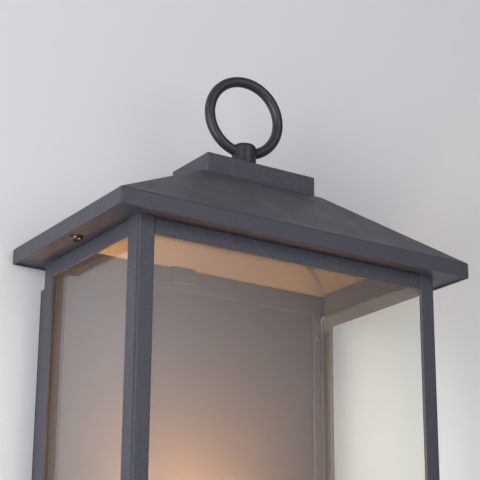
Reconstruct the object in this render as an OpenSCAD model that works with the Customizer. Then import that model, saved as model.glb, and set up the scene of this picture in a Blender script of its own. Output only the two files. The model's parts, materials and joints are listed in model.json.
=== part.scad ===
// Outdoor wall lantern: a glazed box with a hipped roof and a loop on top, held on a wall.
// Millimetres, +Z up. The wall is the plane y = 0 and the lantern stands out towards -Y.
// The origin is the middle of the mounting bracket, on the wall.

/* [Roof] */
// Width of the roof across the eaves
roof_w = 240; // [200:1:300]
// Depth of the roof from the front eave to the back eave
roof_d = 132; // [110:1:170]
// Height of the upright edge round the eaves
fascia_h = 9.5; // [8:0.1:16]
// Rise of the slopes from the top of the fascia to the cap block
roof_rise = 39.8; // [32:0.2:60]
// Thickness of the painted sheet
sheet = 1.2; // [1:0.1:1.5]
// Gap between the back eave and the wall
wall_gap = 2; // [1:0.5:6]
// Overhang of each side eave past the cage
side_eave = 17.2; // [16:0.1:24]
// Overhang of the front eave past the cage
front_eave = 11.9; // [8:0.1:20]
// Overhang of the back eave past the cage
back_eave = 7.6; // [7:0.1:14]
// Height of the eaves above the middle of the mounting bracket
eave_z = 150; // [130:1:190]
// Thickness of the bright liner under the slopes
liner_t = 0.8; // [0.5:0.1:1]

/* [Cap block] */
// Width of the cap block
cap_w = 77.2; // [60:0.2:100]
// Depth of the cap block
cap_d = 40.6; // [30:0.2:52]
// Height of the cap block
cap_h = 12.7; // [8:0.1:20]

/* [Loop finial] */
// Outside diameter of the loop
ring_od = 54; // [46:0.5:72]
// Thickness of the loop's round bar
ring_wire = 6.5; // [5:0.1:8]
// Diameter of the boss that the loop is brazed into
boss_d = 15; // [13:0.1:18]
// Height of the boss above its neck
boss_h = 12.9; // [12.5:0.1:18]
// Diameter of the neck under the boss
neck_d = 13.4; // [10:0.1:16]
// Height of the neck
neck_h = 4.6; // [4:0.1:8]
// Height of the bar's middle above the foot of the boss
wire_lift = 7.6; // [6:0.1:7.8]
// Turn of the loop out of line with the front of the roof, in degrees
ring_turn = -5; // [-45:1:45]
// Thickness of the rubber washer under the neck
washer_t = 1.5; // [1:0.1:3]
// Diameter of the stud that the finial screws onto
stud_d = 6; // [5:0.5:8]

/* [Cage] */
// Height of the cage from the soffit to the base tray
cage_h = 263; // [225:1:330]
// Width of each leg of a corner post
post_leg = 10.6; // [9:0.1:14]
// Wall of a corner post
post_t = 1.8; // [1.4:0.1:2]
// Width of the groove down a post's outer corner
groove = 1.3; // [0.8:0.1:1.6]
// Height of a rail
rail_h = 9.6; // [8:0.1:14]
// How far the rails stand back from the faces of the posts
rail_recess = 0.4; // [0:0.1:0.5]
// Seam between a rail's end and the post
seam = 0.3; // [0.1:0.1:0.6]
// Recess of the soffit above the lower edge of the fascia
soffit_recess = 1; // [0.5:0.1:3]

/* [Glazing] */
// Thickness of the glass
glass_t = 3; // [2:0.5:4]
// Corner radius of the panes
glass_r = 3; // [1:0.5:6]
// Gap above the panes, under the soffit
glass_top_gap = 2.5; // [2:0.5:6]
// Thickness of the rubber strips that bed the front pane
front_strip_t = 0.6; // [0.5:0.1:1]
// Thickness of the rubber strips that bed the side panes
side_strip_t = 2.2; // [0.6:0.1:3]
// Width of the rubber strips
strip_w = 4; // [2:0.5:5]

/* [Wall side] */
// Inset of the wall pan from each side of the cage
pan_inset = 3.3; // [1:0.1:8]
// Drop of the wall pan's top edge below the eaves
pan_drop = 10; // [8:0.5:30]
// Chamfer at the wall pan's top corners
pan_chamfer = 2.5; // [1:0.1:6]
// Thickness of the foam gasket between the pan and the wall
gasket_t = 1; // [0.5:0.1:2]
// Spacing of the two junction box screw holes in the bracket
box_spacing = 88.9; // [60:0.1:96]
// Diameter of the junction box screw holes
box_hole_d = 4.8; // [4:0.1:6]
// Spacing of the two studs that carry the lantern
stud_spacing = 104; // [102:1:112]
// Diameter of those studs
bracket_stud_d = 4; // [3:0.5:5]

/* [Base] */
// Overhang of the base tray past the front and sides of the cage
base_lip = 3.5; // [0:0.5:5]
// Height of the base tray
base_h = 16; // [15:0.5:22]

/* [Lamp] */
// Diameter of the lamp bulb
bulb_d = 60; // [45:1:66]
// Length of the lamp bulb with its cap
bulb_l = 105; // [98:1:112]
// Height of the lamp holder
holder_h = 50; // [46:1:60]
// Diameter of the lamp holder
holder_d = 36; // [34:0.5:42]

/* [Hidden] */
$fn = 64;

// Clearances
body_gap = 0.5;      // between the roof and the cage that it lifts off
run_gap = 0.05;      // radial, between a thread and the part that turns on it
face_gap = 0.1;      // between faces that turn on each other
part_gap = 0.3;      // between loose neighbours
hole_gap = 0.3;      // radial, round a fixed screw
past = 1;            // how far a cutter runs past the face that it cuts

// Places worked out from the driving sizes
roof_back = -wall_gap;
roof_front = roof_back - roof_d;
roof_mid = (roof_front + roof_back) / 2;
cage_w = roof_w - 2 * side_eave;
cage_front = roof_front + front_eave;
cage_back = roof_back - back_eave;
cage_d = cage_back - cage_front;
cage_mid = (cage_front + cage_back) / 2;
cage_top = eave_z + soffit_recess;
cage_bottom = cage_top - cage_h;
slope_base = eave_z + fascia_h;
slope_top = slope_base + roof_rise;
cap_top = slope_top + cap_h;
side_run = (roof_w - cap_w) / 2;
front_run = (roof_d - cap_d) / 2;

// Finial
neck_base = cap_top + washer_t;
boss_base = neck_base + neck_h;
boss_round = 2.6;
ring_r = (ring_od - ring_wire) / 2;
ring_mid = boss_base + wire_lift + ring_r;
boss_roof_t = 1.2;
stud_engage = neck_h + wire_lift - ring_wire / 2 - boss_roof_t;
stud_tail = 9;
stud_nut_h = 5;
stud_washer_h = 1;
liner_hole_d = 3 * stud_d + 4;
neck_shoulder = 0.4;
washer_rim = 1.5;

// Roof screws and rivets
roof_screw_d = 3.5;
roof_screw_head_d = 7.2;
roof_screw_head_h = 2.4;
roof_screw_l = 7;
roof_screw_turn = 20;
roof_screw_inset = 8.4;
roof_screw_x = roof_w / 2 - roof_screw_inset;
tab_low = cage_top + sheet + body_gap;
tab_w = 14;
tab_t = 1.5;
tab_reach = 11;
rivet_d = 3;
rivet_head_d = 4.6;
rivet_head_h = 1.2;
rivet_rim = 0.4;
rivet_tail_h = 0.8;
rivet_inset = 3.3;
rivet_end = 16;
rivet_x = cage_w / 2 - post_leg + rivet_inset;
rivet_heights = [cage_top - rivet_end, cage_top - cage_h / 2, cage_bottom + rivet_end];

// Latch tab
latch_w = 17;
latch_x = -8;
latch_lift = 4;

// Glazing
front_glass_set = post_t + front_strip_t;
side_glass_set = post_t + side_strip_t;
rail_lip = front_glass_set - rail_recess;
rail_front_l = cage_w - 2 * (post_leg + seam);
rail_side_l = cage_d - 2 * (post_leg + seam);
pane_gap = 0.6;
pane_low = cage_bottom;
pane_h = cage_h - glass_top_gap;
front_pane_w = cage_w - 2 * (side_glass_set + pane_gap);
front_pane_y = cage_front + front_glass_set;
side_pane_front = front_pane_y + glass_t + pane_gap;
rivet_room = 2 * rivet_head_h;
side_pane_back = cage_back - post_t - rivet_room;
side_pane_d = side_pane_back - side_pane_front;
strip_edge = 1.2;
strip_end = 3;
clip_w = 8;
clip_t = 1;
clip_h = 9;

// Wall of metal left behind a post's groove
web_spare = 0.6;

// Wall side
gasket_w = 5;
pan_front = cage_back + sheet;
pan_back = -gasket_t;
pan_top = eave_z - pan_drop;
pan_w = cage_w - 2 * pan_inset;
bracket_t = 1.6;
bracket_h = 24;
bracket_end = 8;
bracket_l = stud_spacing + 2 * bracket_end;
cable_hole_d = 12;
cable_x = -22;
earth_x = 22;
cap_nut_flats_d = 8;
cap_nut_h = 7;
cap_nut_round = 3.2;
cap_nut_cover = 3;

// Base
tray_w = cage_w + 2 * base_lip;
tray_front = cage_front - base_lip;
tray_bottom = cage_bottom - base_h;
cover_recess = 2.2;
cover_t = 1.2;
lug_low = tray_bottom + cover_recess + cover_t;
lug_t = 1.5;
lug_w = 14;
cover_screw_d = 3;
cover_screw_head_d = 6;
cover_screw_head_h = 2;
cover_screw_tail = 1;
cover_screw_inset = 9;

// Lamp and holder
thread_r = 13.2;
thin = 0.4;
contact_h = 27;
contact_r = 5;
disc_low = 22;
disc_t = 2;
cavity_r = 9;
shell_rim = 4;
shell_stop = 1;
bulb_base = cage_bottom + contact_h;
cap_low = 3.5;
cap_h1 = 24;
neck_low = 18;
glass_wall = 0.8;
dome_mid = bulb_l - bulb_d / 2;
stem_top = dome_mid + bulb_d / 6;
filament_low = cap_h1 + 26;
filament_d = 1.8;
filament_ring_r = 6.5;
tip_r = 4;
tip_edge = 0.6;
hub_r = 8;
hub_t = 1;
mast_r = 1.2;
foot_r = 6;
waist_r = 3;
tube_d = 10;
tube_bore_d = 7;
tube_engage = 5;
tube_nut_h = 4;
tube_tail = 1;

// Leads
lead_d = 2.2;
lead_x = 1.7;
lead_bend = 4;
lead_run_z = tray_bottom + 6;
lead_rise_y = (pan_front + sheet + pan_back) / 2;
lead_end_z = cage_bottom + 60;
lead_hold = 5;
grommet_d = 3.2;
grommet_lip = 0.8;
block_w = 16;
block_h = 16;

// Points along an arc about (cx, cy), from angle a to angle b
function arc(cx, cy, r, a, b, n = 12) =
    [for (i = [0:n]) [cx + r * cos(a + (b - a) * i / n), cy + r * sin(a + (b - a) * i / n)]];

// Points of a cubic curve from p to q with handles ph and qh
function curve(p, ph, qh, q, n = 8) =
    [for (i = [1:n]) let (t = i / n, s = 1 - t)
        p * s * s * s + ph * 3 * s * s * t + qh * 3 * s * t * t + q * t * t * t];

// Box of width w centred on x, from y0 to y1 and from z0 to z1
module slab(w, y0, y1, z0, z1, x = 0) {
    translate([x - w / 2, y0, z0])
        cube([w, y1 - y0, z1 - z0]);
}

// Upright cylinder on the line through (x, y)
module rod(d, z0, z1, x = 0, y = 0) {
    translate([x, y, z0])
        cylinder(d = d, h = z1 - z0);
}

// Cylinder along the depth, from y0 to y1
module peg(d, y0, y1, x = 0, z = 0) {
    translate([x, y1, z])
        rotate([90, 0, 0])
            cylinder(d = d, h = y1 - y0);
}

// Solid hipped roof whose faces lie a distance in from the outer faces
module hip(inset, low) {
    side_rate = roof_rise / side_run;
    front_rate = roof_rise / front_run;
    half_w = roof_w / 2 - inset;
    half_d = roof_d / 2 - inset;
    top = slope_top - inset;
    side_foot = slope_base + inset * side_rate - inset * sqrt(1 + side_rate * side_rate);
    front_foot = slope_base + inset * front_rate - inset * sqrt(1 + front_rate * front_rate);
    side_top = half_w - (top - side_foot) / side_rate;
    front_top = half_d - (top - front_foot) / front_rate;
    intersection() {
        translate([0, roof_back + past, 0])
            rotate([90, 0, 0])
                linear_extrude(roof_d + 2 * past)
                    polygon([[-half_w, low], [half_w, low], [half_w, side_foot],
                        [side_top, top], [-side_top, top], [-half_w, side_foot]]);
        translate([-roof_w / 2 - past, roof_mid, 0])
            rotate([90, 0, 90])
                linear_extrude(roof_w + 2 * past)
                    polygon([[-half_d, low], [half_d, low], [half_d, front_foot],
                        [front_top, top], [-front_top, top], [-half_d, front_foot]]);
    }
}

// The part of the roof sheet that stands over a plan outline, mitred to its neighbours
module roof_sheet(plan) {
    color("#3c3e42")
        difference() {
            intersection() {
                hip(0, eave_z);
                translate([0, roof_mid, eave_z])
                    linear_extrude(slope_top - eave_z)
                        polygon(plan);
            }
            hip(sheet, eave_z - past);
            rod(stud_d + 2 * hole_gap, slope_top - sheet - past, slope_top + past, 0, roof_mid);
        }
}

module roof_long_side(side) {
    roof_sheet([[-roof_w / 2, side * roof_d / 2], [roof_w / 2, side * roof_d / 2],
        [cap_w / 2, side * cap_d / 2], [-cap_w / 2, side * cap_d / 2]]);
}

module roof_short_side(side) {
    roof_sheet([[side * roof_w / 2, -roof_d / 2], [side * roof_w / 2, roof_d / 2],
        [side * cap_w / 2, cap_d / 2], [side * cap_w / 2, -cap_d / 2]]);
}

module roof_front() { roof_long_side(-1); }
module roof_back() { roof_long_side(1); }
module roof_left() { roof_short_side(-1); }
module roof_right() { roof_short_side(1); }

// Flat top of the roof, under the cap block
module roof_crown() {
    roof_sheet([[-cap_w / 2, -cap_d / 2], [cap_w / 2, -cap_d / 2],
        [cap_w / 2, cap_d / 2], [-cap_w / 2, cap_d / 2]]);
}

// The bright ceiling: a second, thinner hip just under the roof
module roof_liner() {
    reach = 1;
    color("#c9c2b2")
        intersection() {
            difference() {
                hip(sheet, eave_z);
                hip(sheet + liner_t, eave_z - past);
                rod(liner_hole_d, slope_base, slope_top, 0, roof_mid);
            }
            slab(cage_w + 2 * reach, cage_front - reach, cage_back + reach, slope_base, slope_top);
        }
}

module cap_block() {
    color("#3c3e42")
        difference() {
            slab(cap_w, roof_mid - cap_d / 2, roof_mid + cap_d / 2, slope_top, cap_top);
            slab(cap_w - 2 * sheet, roof_mid - cap_d / 2 + sheet, roof_mid + cap_d / 2 - sheet,
                slope_top - past, cap_top - sheet);
            rod(stud_d + 2 * hole_gap, slope_top, cap_top + past, 0, roof_mid);
        }
}

module finial_stud() {
    color("silver")
        rod(stud_d, slope_top - stud_tail, neck_base + stud_engage, 0, roof_mid);
}

// Nut and its washer under the roof
module stud_nut() {
    seat = slope_top - sheet;
    color("silver")
        difference() {
            union() {
                rod(2.2 * stud_d, seat - stud_washer_h, seat, 0, roof_mid);
                translate([0, roof_mid, seat - stud_washer_h - stud_nut_h])
                    cylinder(d = 1.9 * stud_d, h = stud_nut_h, $fn = 6);
            }
            rod(stud_d, seat - stud_washer_h - stud_nut_h - past, seat + past, 0, roof_mid);
        }
}

// Angle lugs inside the side eaves that take the roof screws
module roof_tabs() {
    wall = roof_w / 2 - sheet;
    color("#3c3e42")
        for (side = [-1, 1])
            difference() {
                union() {
                    slab(tab_reach, roof_mid - tab_w / 2, roof_mid + tab_w / 2,
                        tab_low, tab_low + tab_t, side * (wall - tab_reach / 2));
                    slab(tab_t, roof_mid - tab_w / 2, roof_mid + tab_w / 2,
                        tab_low, slope_base - sheet, side * (wall - tab_t / 2));
                }
                rod(roof_screw_d + 2 * run_gap, tab_low - past, tab_low + tab_t + past,
                    side * roof_screw_x, roof_mid);
            }
}

module finial_washer() {
    color("#1b1c1d")
        difference() {
            rod(neck_d + 2 * washer_rim, cap_top, cap_top + washer_t, 0, roof_mid);
            rod(stud_d, cap_top - past, cap_top + washer_t + past, 0, roof_mid);
        }
}

module loop_bar() {
    translate([0, roof_mid, ring_mid])
        rotate([90, 0, ring_turn])
            rotate_extrude()
                translate([ring_r, 0])
                    circle(d = ring_wire);
}

// Turned boss with a domed edge, bored from below for the stud and saddled for the loop
module finial_boss() {
    r = boss_d / 2;
    bore = stud_d / 2 + run_gap;
    bore_top = stud_engage + part_gap;
    top = neck_h + boss_h;
    color("#34363a")
        difference() {
            translate([0, roof_mid, neck_base])
                rotate_extrude()
                    polygon(concat([[0, bore_top], [bore, bore_top], [bore, face_gap],
                        [neck_d / 2, face_gap], [neck_d / 2, neck_h - neck_shoulder], [r, neck_h]],
                        arc(r - boss_round, top - boss_round, boss_round, 0, 90),
                        [[0, top]]));
            loop_bar();
        }
}

module finial_ring() {
    color("#34363a")
        loop_bar();
}

// Pan-head screw pointing up, with its bearing face at z = 0 and a cross recess in its head
module pan_screw(d, head_d, head_h, l) {
    recess = head_d * 0.55;
    slot = head_d * 0.14;
    round = head_h * 0.8;
    difference() {
        rotate_extrude()
            polygon(concat([[0, l], [0, -head_h]],
                arc(head_d / 2 - round, round - head_h, round, -90, 0, 6),
                [[head_d / 2, 0], [d / 2, 0], [d / 2, l]]));
        for (turn = [0, 90])
            rotate([0, 0, turn])
                translate([-recess / 2, -slot / 2, -head_h - past])
                    cube([recess, slot, past + head_h * 0.55]);
    }
}

module roof_screws() {
    color("silver")
        for (side = [-1, 1])
            translate([side * roof_screw_x, roof_mid, cage_top])
                rotate([0, 0, roof_screw_turn])
                    pan_screw(roof_screw_d, roof_screw_head_d, roof_screw_head_h, roof_screw_l);
}

// The room under the roof that the cage may fill
module under_roof() {
    hip(sheet + liner_t + body_gap, eave_z);
}

// Flat soffit ring that carries the roof, with an upstand folded round its opening
module top_frame() {
    edge = sheet + body_gap;
    color("#3c3e42")
        difference() {
            union() {
                slab(roof_w - 2 * edge, roof_front + edge, roof_back - edge,
                    cage_top, cage_top + sheet);
                intersection() {
                    slab(cage_w, cage_front, cage_back, cage_top, slope_top);
                    under_roof();
                }
            }
            slab(cage_w - 2 * sheet, cage_front + sheet, cage_back - sheet,
                cage_top - past, slope_top + past);
            for (side = [-1, 1])
                rod(roof_screw_d, cage_top - past, cage_top + sheet + past,
                    side * roof_screw_x, roof_mid);
        }
}

// Lug welded inside the upstand at the back, a little higher than it
module latch_tab() {
    color("#3c3e42")
        intersection() {
            slab(latch_w, cage_back - 2 * sheet, cage_back - sheet,
                cage_top + latch_lift, slope_top, latch_x);
            under_roof();
        }
}

// Section of a post: its outer corner is the origin and its legs run along +x and +y
module post_section() {
    web = 2 * groove + web_spare;
    difference() {
        union() {
            square([post_leg, post_t]);
            square([post_t, post_leg]);
            square([web, web]);
        }
        translate([-past, -past])
            square([groove + past, groove + past]);
    }
}

module post(side, front) {
    color("#46484d")
        difference() {
            translate([side * cage_w / 2, front ? cage_front : cage_back, cage_bottom])
                mirror([side > 0 ? 1 : 0, 0, 0])
                    mirror([0, front ? 0 : 1, 0])
                        linear_extrude(cage_h)
                            post_section();
            if (!front)
                rivet_holes();
        }
}

module front_left_post() { post(-1, true); }
module front_right_post() { post(1, true); }
module rear_left_post() { post(-1, false); }
module rear_right_post() { post(1, false); }

// Section of a rail: its face stands on the y axis, with a rounded fold and a lip at the top
module rail_section() {
    square([sheet, rail_h - sheet]);
    translate([sheet, rail_h - sheet])
        square([rail_lip - sheet, sheet]);
    translate([sheet, rail_h - sheet])
        intersection() {
            circle(r = sheet);
            translate([-sheet, 0])
                square([sheet, sheet]);
        }
}

// A rail of length l along x, its face towards -y and its top at z = 0
module rail(l) {
    translate([-l / 2, 0, -rail_h])
        rotate([90, 0, 90])
            linear_extrude(l)
                rail_section();
}

module front_rail(top) {
    color("#44464b")
        translate([0, cage_front + rail_recess, top ? cage_top : cage_bottom])
            mirror([0, 0, top ? 0 : 1])
                rail(rail_front_l);
}

module side_rail(side, top) {
    color("#44464b")
        translate([side * (cage_w / 2 - rail_recess), cage_mid, top ? cage_top : cage_bottom])
            mirror([0, 0, top ? 0 : 1])
                rotate([0, 0, side * 90])
                    rail(rail_side_l);
}

module front_top_rail() { front_rail(true); }
module left_top_rail() { side_rail(-1, true); }
module right_top_rail() { side_rail(1, true); }
module front_bottom_rail() { front_rail(false); }
module left_bottom_rail() { side_rail(-1, false); }
module right_bottom_rail() { side_rail(1, false); }

// Upright pane of width w with round corners, its outer face on y = 0, standing on z = 0
module pane(w) {
    r = glass_r;
    translate([0, glass_t, 0])
        rotate([90, 0, 0])
            linear_extrude(glass_t) {
                translate([-w / 2 + r, 0])
                    square([w - 2 * r, pane_h]);
                translate([-w / 2, r])
                    square([w, pane_h - 2 * r]);
                for (x = [-w / 2 + r, w / 2 - r], z = [r, pane_h - r])
                    translate([x, z])
                        circle(r = r);
            }
}

module front_glass() {
    color("#cfe0dc", 0.3)
        translate([0, front_pane_y, pane_low])
            pane(front_pane_w);
}

module side_glass(side) {
    color("#cfe0dc", 0.3)
        translate([side * (cage_w / 2 - side_glass_set),
            (side_pane_front + side_pane_back) / 2, pane_low])
            rotate([0, 0, side * 90])
                pane(side_pane_d);
}

module left_glass() { side_glass(-1); }
module right_glass() { side_glass(1); }

// Rubber strips between the posts and the panes
module glazing_strips() {
    reach = post_leg - strip_edge;
    low = pane_low + rail_h + strip_end;
    high = cage_top - rail_h - strip_end;
    side_x = cage_w / 2 - post_t - side_strip_t / 2;
    color("#1b1c1d")
        for (side = [-1, 1]) {
            slab(strip_w, cage_front + post_t, front_pane_y, low, high,
                side * (cage_w / 2 - reach + strip_w / 2));
            for (y = [cage_front + reach - strip_w, cage_back - reach])
                slab(side_strip_t, y, y + strip_w, low, high, side * side_x);
        }
}

// Angle clip with its back on y = 0, standing on z = 0
module clip() {
    slab(clip_w, 0, clip_t, 0, clip_h);
    slab(clip_w, clip_t, clip_h, 0, clip_t);
}

// Clips on the tray that hold the panes against their strips
module pane_clips() {
    color("silver")
        for (side = [-1, 1], part = [-1, 1]) {
            translate([side * front_pane_w / 4, front_pane_y + glass_t, cage_bottom])
                if (part > 0)
                    clip();
            translate([side * (cage_w / 2 - side_glass_set - glass_t),
                (side_pane_front + side_pane_back) / 2 + part * side_pane_d / 4, cage_bottom])
                rotate([0, 0, side * 90])
                    clip();
        }
}

module rivet_holes() {
    for (x = [-rivet_x, rivet_x], z = rivet_heights)
        peg(rivet_d, cage_back - post_t - past, pan_front + sheet + past, x, z);
}

module stud_holes() {
    for (x = [-1, 1] * stud_spacing / 2)
        peg(bracket_stud_d + 2 * hole_gap, cage_back - past, pan_front + sheet + past, x);
}

module back_panel() {
    color("#303236")
        difference() {
            slab(pan_w, cage_back, pan_front, cage_bottom, cage_top);
            rivet_holes();
            stud_holes();
        }
}

module panel_rivets() {
    head_y = cage_back - post_t;
    tail_y = pan_front + sheet;
    color("silver")
        for (x = [-rivet_x, rivet_x], z = rivet_heights) {
            peg(rivet_d, head_y, tail_y, x, z);
            translate([x, head_y, z])
                rotate([90, 0, 0])
                    rotate_extrude()
                        polygon([[0, 0], [rivet_head_d / 2, 0], [rivet_head_d / 2, rivet_rim],
                            [rivet_head_d / 4, rivet_head_h], [0, rivet_head_h]]);
            peg(rivet_head_d, tail_y, tail_y + rivet_tail_h, x, z);
        }
}

// Outline of the wall pan, drawn in from its edge by inset
module pan_outline(inset) {
    half = pan_w / 2 - inset;
    top = pan_top - inset;
    cut = pan_chamfer;
    low = cage_bottom - (inset > 0 ? past : 0);
    polygon([[-half, low], [half, low], [half, top - cut], [half - cut, top],
        [-half + cut, top], [-half, top - cut]]);
}

// Shallow pan, open to the wall and at the foot, that stands the lantern off the wall
module wall_pan() {
    color("#34363a")
        difference() {
            translate([0, pan_back, 0])
                rotate([90, 0, 0])
                    linear_extrude(pan_back - pan_front)
                        pan_outline(0);
            translate([0, pan_back + past, 0])
                rotate([90, 0, 0])
                    linear_extrude(pan_back + past - pan_front - sheet)
                        pan_outline(sheet);
            rivet_holes();
            stud_holes();
        }
}

module wall_gasket() {
    color("#1b1c1d")
        rotate([90, 0, 0])
            linear_extrude(gasket_t)
                difference() {
                    pan_outline(0);
                    intersection() {
                        pan_outline(gasket_w);
                        translate([-pan_w / 2, cage_bottom + gasket_w])
                            square([pan_w, pan_top - cage_bottom]);
                    }
                }
}

module wall_bracket() {
    color("silver")
        difference() {
            slab(bracket_l, -bracket_t, 0, -bracket_h / 2, bracket_h / 2);
            for (side = [-1, 1]) {
                peg(box_hole_d, -bracket_t - past, past, side * box_spacing / 2);
                peg(bracket_stud_d, -bracket_t - past, past, side * stud_spacing / 2);
            }
            peg(cable_hole_d, -bracket_t - past, past, cable_x);
            peg(roof_screw_d, -bracket_t - past, past, earth_x);
        }
}

module bracket_studs() {
    color("silver")
        for (side = [-1, 1])
            peg(bracket_stud_d, cage_back - cap_nut_h + cap_nut_cover, 0,
                side * stud_spacing / 2);
}

// Domed nuts that clamp the back panel and the pan to the studs
module cap_nuts() {
    color("silver")
        for (side = [-1, 1])
            translate([side * stud_spacing / 2, cage_back, 0])
                rotate([90, 0, 0])
                    difference() {
                        union() {
                            cylinder(d = cap_nut_flats_d, h = cap_nut_h / 2, $fn = 6);
                            rotate_extrude()
                                polygon(concat([[0, cap_nut_h / 2], [cap_nut_round, cap_nut_h / 2]],
                                    arc(0, cap_nut_h - cap_nut_round, cap_nut_round, 0, 90, 6)));
                        }
                        translate([0, 0, -past])
                            cylinder(d = bracket_stud_d, h = cap_nut_h - cap_nut_cover + past);
                    }
}

module earth_screw() {
    color("#6f8f4a")
        translate([earth_x, -bracket_t, 0])
            rotate([-90, 0, 0])
                pan_screw(roof_screw_d, roof_screw_head_d, roof_screw_head_h, bracket_t);
}

// Two-way block on the pan that joins the leads to the supply
module terminal_block() {
    low = lead_end_z - lead_hold;
    color("#d8d4c6")
        difference() {
            slab(block_w, pan_front + sheet, pan_back - part_gap, low, low + block_h);
            for (side = [-1, 1])
                rod(lead_d, low - past, lead_end_z, side * lead_x, lead_rise_y);
        }
}

// Tray under the cage: a flat top, deep sides and four lugs for the cover
module base_tray() {
    color("#3c3e42")
        difference() {
            slab(tray_w, tray_front, pan_back, tray_bottom, cage_bottom);
            difference() {
                slab(tray_w - 2 * sheet, tray_front + sheet, pan_back - sheet,
                    tray_bottom - past, cage_bottom - sheet);
                for (side = [-1, 1], y = [tray_front, pan_back - lug_w])
                    slab(lug_w, y, y + lug_w, lug_low, lug_low + lug_t,
                        side * (tray_w - lug_w) / 2);
            }
            rod(tube_d, cage_bottom - sheet - past, cage_bottom + past, 0, cage_mid);
            for (side = [-1, 1])
                rod(grommet_d, cage_bottom - sheet - past, cage_bottom + past,
                    side * lead_x, lead_rise_y);
            cover_screw_places()
                rod(cover_screw_d, lug_low - past, lug_low + lug_t + past);
        }
}

module cover_screw_places() {
    for (side = [-1, 1], y = [tray_front + cover_screw_inset, pan_back - cover_screw_inset])
        translate([side * (tray_w / 2 - cover_screw_inset), y, 0])
            children();
}

module base_cover() {
    edge = sheet + part_gap;
    low = tray_bottom + cover_recess;
    color("#34363a")
        difference() {
            slab(tray_w - 2 * edge, tray_front + edge, pan_back - edge, low, low + cover_t);
            cover_screw_places()
                rod(cover_screw_d, low - past, low + cover_t + past);
        }
}

module cover_screws() {
    color("silver")
        cover_screw_places()
            translate([0, 0, tray_bottom + cover_recess])
                pan_screw(cover_screw_d, cover_screw_head_d, cover_screw_head_h,
                    cover_t + lug_t + cover_screw_tail);
}

// Ceramic holder: a foot, a cavity for the leads, a disc under the contact and a socket
module holder_body() {
    socket_r = thread_r + run_gap + thin;
    color("#e4dfd2")
        translate([0, cage_mid, cage_bottom])
            difference() {
                cylinder(d = holder_d, h = holder_h);
                translate([0, 0, disc_low + disc_t])
                    cylinder(r = socket_r, h = holder_h);
                translate([0, 0, tube_engage])
                    cylinder(r = cavity_r, h = disc_low - tube_engage);
                translate([0, 0, -past])
                    cylinder(d = tube_d, h = tube_engage + 2 * past);
                for (side = [-1, 1])
                    translate([side * lead_x, 0, disc_low - past])
                        cylinder(d = lead_d, h = disc_t + 2 * past);
            }
}

// Thin sleeve that takes the lamp cap, with a rim turned in at its foot
module holder_shell() {
    r = thread_r + run_gap;
    low = disc_low + disc_t;
    top = holder_h - shell_stop;
    color("#c9a85a")
        translate([0, cage_mid, cage_bottom])
            rotate_extrude()
                polygon([[r - shell_rim, low], [r + thin, low], [r + thin, top],
                    [r, top], [r, low + thin], [r - shell_rim, low + thin]]);
}

module holder_contact() {
    low = disc_low + disc_t;
    color("#c9a85a")
        translate([0, cage_mid, cage_bottom + low])
            cylinder(r = contact_r, h = contact_h - low - face_gap);
}

module holder_tube() {
    color("silver")
        difference() {
            rod(tube_d, cage_bottom - sheet - tube_nut_h - tube_tail, cage_bottom + tube_engage,
                0, cage_mid);
            rod(tube_bore_d, cage_bottom - base_h, cage_bottom + tube_engage + past, 0, cage_mid);
        }
}

module tube_nut() {
    color("silver")
        translate([0, cage_mid, cage_bottom - sheet - tube_nut_h])
            difference() {
                cylinder(d = 1.7 * tube_d, h = tube_nut_h, $fn = 6);
                translate([0, 0, -past])
                    cylinder(d = tube_d, h = tube_nut_h + 2 * past);
            }
}

// Quarter bend from straight up at the origin round to the +y direction when turn is 0
module lead_corner() {
    rotate([90, 0, 90])
        translate([lead_bend, 0, 0])
            rotate([0, 0, 180])
                rotate_extrude(angle = 90)
                    translate([lead_bend, 0])
                        circle(d = lead_d);
}

// Insulated wire: down the tube, back under the tray and up inside the pan
module lead(side) {
    run_top = lead_run_z + lead_bend;
    rod(lead_d, run_top, cage_bottom + disc_low + disc_t, side * lead_x, cage_mid);
    translate([side * lead_x, cage_mid, run_top])
        lead_corner();
    peg(lead_d, cage_mid + lead_bend, lead_rise_y - lead_bend, side * lead_x, lead_run_z);
    translate([side * lead_x, lead_rise_y, run_top])
        mirror([0, 1, 0])
            lead_corner();
    rod(lead_d, run_top, lead_end_z, side * lead_x, lead_rise_y);
}

module live_lead() { color("#5a3a22") lead(1); }
module neutral_lead() { color("#2c4f80") lead(-1); }

module lead_grommets() {
    color("#1b1c1d")
        for (side = [-1, 1])
            difference() {
                rod(grommet_d, cage_bottom - sheet - grommet_lip, cage_bottom + grommet_lip,
                    side * lead_x, lead_rise_y);
                rod(lead_d, cage_bottom - sheet - past, cage_bottom + past,
                    side * lead_x, lead_rise_y);
            }
}

// Parts of the lamp are turned about its axis, with z = 0 at its tip
module lamp_turning() {
    translate([0, cage_mid, bulb_base])
        rotate_extrude()
            children();
}

module bulb_tip() {
    color("#1b1c1d")
        lamp_turning()
            polygon([[0, 0], [tip_r, 0], [tip_r + tip_edge, 1], [thread_r - thin, cap_low],
                [thread_r - thin, cap_low + 1], [0, cap_low + 1]]);
}

module bulb_cap() {
    color("#c4c6c8")
        lamp_turning()
            polygon([[thread_r - thin, cap_low], [thread_r, cap_low + thin], [thread_r, cap_h1],
                [thread_r - thin, cap_h1]]);
}

// Outline of the lamp glass from its neck to the top of its dome, drawn in by inset
function lamp_outline(inset) = let (r = thread_r - thin - inset, big = bulb_d / 2 - inset)
    concat([[r, neck_low], [r, cap_h1 + 2]],
        curve([r, cap_h1 + 2], [r, cap_h1 + (dome_mid - cap_h1) * 0.4],
            [big, cap_h1 + (dome_mid - cap_h1) * 0.55], [big, dome_mid]),
        arc(0, dome_mid, big, 10, 90, 8));

module bulb_glass() {
    inner = lamp_outline(glass_wall);
    color("#fff4dd", 0.4)
        lamp_turning()
            polygon(concat(lamp_outline(0), [for (i = [len(inner) - 1:-1:0]) inner[i]]));
}

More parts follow.
